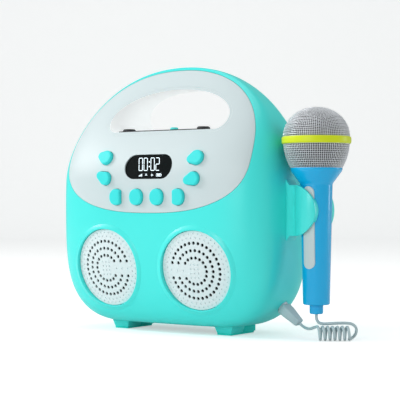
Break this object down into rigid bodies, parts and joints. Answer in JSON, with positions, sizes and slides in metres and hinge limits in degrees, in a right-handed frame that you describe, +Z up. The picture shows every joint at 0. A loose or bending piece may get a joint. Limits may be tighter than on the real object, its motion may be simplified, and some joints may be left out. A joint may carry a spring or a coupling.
{
  "type": "karaoke machine",
  "caption": "Rounded portable karaoke machine with a handle opening, display, round speaker grilles, a rear disc compartment and a clipped microphone on a curly lead.",
  "frame": {"origin": "under the middle of the body and microphone together, at floor level", "axes": "+Z up, front towards -Y, +X towards the side that carries the microphone"},
  "size_m": [0.2706, 0.106, 0.226],
  "materials": {
    "teal_shell": "glossy",
    "teal_button": "satin",
    "white_shell": "glossy",
    "white_grille": "satin",
    "window": "glossy tint",
    "lcd": "satin",
    "black_plastic": "matte",
    "cone_paper": "matte",
    "circuit_board": "satin",
    "rubber": "matte",
    "steel": "satin",
    "cell_wrap": "satin",
    "jack_plastic": "satin",
    "chassis": "satin",
    "lens": "glossy",
    "lead": "satin",
    "mic_blue": "glossy",
    "mesh": "satin",
    "lime": "glossy"
  },
  "bodies": {
    "body": {"front_shell": "teal_shell", "rear_shell": "teal_shell", "mic_holder": "teal_shell", "moulded_feet": "teal_shell", "door_hinge_bracket": "teal_shell", "face_panel": "white_shell", "handle_liner": "white_shell", "left_grille": "white_grille", "right_grille": "white_grille", "display_window": "window", "display_module": "lcd", "left_speaker_frame": "black_plastic", "right_speaker_frame": "black_plastic", "battery_holder": "black_plastic", "disc_well": "black_plastic", "charge_socket": "black_plastic", "speaker_cones": "cone_paper", "button_board": "circuit_board", "main_board": "circuit_board", "rubber_feet": "rubber", "case_screws": "steel", "guide_rods": "steel", "feed_motor": "steel", "spindle_motor": "steel", "door_hinge_pin": "steel", "release_spring": "steel", "plug_pin": "steel", "control_pots": "steel", "battery_cell": "cell_wrap", "mic_jack": "jack_plastic", "mech_chassis": "chassis", "plug_body": "lead", "cord_lead_plug": "lead", "cord_coil": "lead", "cord_lead_mic": "lead"},
    "volume_knob": {"volume_knob": "black_plastic"},
    "echo_knob": {"echo_knob": "black_plastic"},
    "door_release": {"door_button": "teal_shell", "release_arm": "jack_plastic"},
    "disc_door": {"disc_door": "teal_shell", "door_hinge_leaf": "teal_shell"},
    "turntable": {"turntable": "black_plastic"},
    "feed_screw": {"feed_screw": "steel"},
    "pickup": {"pickup_sled": "black_plastic", "pickup_lens": "lens"},
    "microphone": {"mic_handle": "mic_blue", "mic_grille_lower": "mesh", "mic_band": "lime", "mic_grille_upper": "mesh", "mic_switch_plate": "white_shell", "mic_capsule": "black_plastic"},
    "mic_switch": {"mic_switch": "mic_blue"},
    "button_left_upper": {"button_left_upper": "teal_button"},
    "button_left_lower": {"button_left_lower": "teal_button"},
    "button_right_upper": {"button_right_upper": "teal_button"},
    "button_right_lower": {"button_right_lower": "teal_button"},
    "button_row_1": {"button_row_1": "teal_button"},
    "button_row_2": {"button_row_2": "teal_button"},
    "button_row_3": {"button_row_3": "teal_button"},
    "button_row_4": {"button_row_4": "teal_button"}
  },
  "joints": [
    {"name": "press_left_upper", "type": "slide", "parent": "body", "child": "button_left_upper", "axis": [0.0328, 0.9319, -0.3613], "range_m": [0, 0.0008], "stiffness_N_per_m": 300},
    {"name": "press_left_lower", "type": "slide", "parent": "body", "child": "button_left_lower", "axis": [0.0315, 0.9981, -0.0534], "range_m": [0, 0.0008], "stiffness_N_per_m": 300},
    {"name": "press_right_upper", "type": "slide", "parent": "body", "child": "button_right_upper", "axis": [-0.0331, 0.9405, -0.3382], "range_m": [0, 0.0008], "stiffness_N_per_m": 300},
    {"name": "press_right_lower", "type": "slide", "parent": "body", "child": "button_right_lower", "axis": [-0.0314, 0.9995, -0.0009], "range_m": [0, 0.0008], "stiffness_N_per_m": 300},
    {"name": "press_row_1", "type": "slide", "parent": "body", "child": "button_row_1", "axis": [0.0096, 0.9999, 0.0035], "range_m": [0, 0.0008], "stiffness_N_per_m": 300},
    {"name": "press_row_2", "type": "slide", "parent": "body", "child": "button_row_2", "axis": [0.0003, 1, 0.0035], "range_m": [0, 0.0008], "stiffness_N_per_m": 300},
    {"name": "press_row_3", "type": "slide", "parent": "body", "child": "button_row_3", "axis": [-0.0003, 1, 0.0035], "range_m": [0, 0.0008], "stiffness_N_per_m": 300},
    {"name": "press_row_4", "type": "slide", "parent": "body", "child": "button_row_4", "axis": [-0.0096, 0.9999, 0.0035], "range_m": [0, 0.0008], "stiffness_N_per_m": 300},
    {"name": "volume_turn", "type": "hinge", "parent": "body", "child": "volume_knob", "pos_m": [-0.065, -0.02373, 0.17], "axis": [0, 0, 1], "range_deg": [-150, 150]},
    {"name": "echo_turn", "type": "hinge", "parent": "body", "child": "echo_knob", "pos_m": [0.013, -0.02373, 0.17], "axis": [0, 0, 1], "range_deg": [-150, 150]},
    {"name": "release_press", "type": "slide", "parent": "body", "child": "door_release", "axis": [0, 0, -1], "range_m": [0, 0.003], "stiffness_N_per_m": 400, "deforming": ["release_spring"]},
    {"name": "door_swing", "type": "hinge", "parent": "body", "child": "disc_door", "pos_m": [-0.026, 0.04712, 0.0206], "axis": [-1, 0, 0], "range_deg": [0, 80]},
    {"name": "turntable_spin", "type": "hinge", "parent": "body", "child": "turntable", "pos_m": [-0.026, 0.0335, 0.09], "axis": [0, 1, 0], "continuous": true},
    {"name": "feed_turn", "type": "hinge", "parent": "body", "child": "feed_screw", "pos_m": [-0.0025, 0.0205, 0.05], "axis": [0, 0, 1], "range_deg": [0, 3840]},
    {"name": "pickup_slide", "type": "slide", "parent": "body", "child": "pickup", "axis": [0, 0, -1], "range_m": [0, 0.032]},
    {"name": "mic_lift", "type": "slide", "parent": "body", "child": "microphone", "axis": [0, 0, 1], "range_m": [0, 0.05]},
    {"name": "mic_switch_slide", "type": "slide", "parent": "microphone", "child": "mic_switch", "axis": [0, 0, 1], "range_m": [-0.0025, 0.0025]}
  ],
  "couplings": [
    {"joint": "feed_turn", "follows": "pickup_slide", "rad_per_m": 2094.4}
  ]
}
